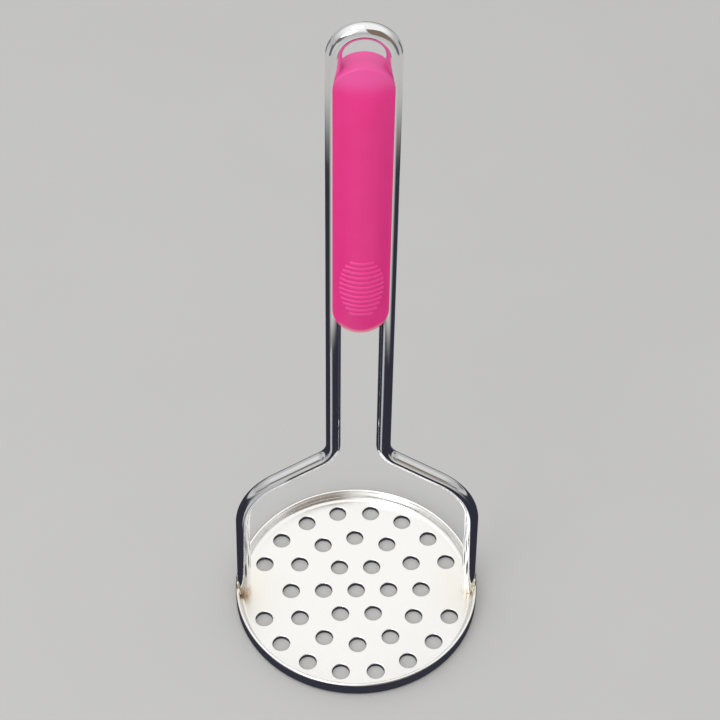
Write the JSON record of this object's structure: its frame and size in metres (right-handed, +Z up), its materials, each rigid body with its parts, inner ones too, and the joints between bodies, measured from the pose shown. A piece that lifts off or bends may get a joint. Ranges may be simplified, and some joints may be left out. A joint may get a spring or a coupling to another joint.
{
  "type": "potato masher",
  "caption": "Hand potato masher: a bent rod handle with a hanging loop and a moulded grip, its two legs welded into a round perforated tray.",
  "frame": {"origin": "centre of the tray's flat underside, which is the face it rests on", "axes": "+Z up along the handle; the two handle wires and both legs lie in the XZ plane; the thumb pad faces -Y"},
  "size_m": [0.09, 0.09, 0.271],
  "materials": {
    "bright_rod": "bright polished plating",
    "bright_tray": "bright plating over pressed sheet, slightly satin on the floor",
    "grip_plastic": "fine matte moulded texture",
    "weld_metal": "dull, straw and brown heat tint"
  },
  "bodies": {
    "root": {"wire_frame": "bright_rod", "mashing_plate": "bright_tray", "grip": "grip_plastic", "weld_left": "weld_metal", "weld_right": "weld_metal"}
  },
  "joints": []
}
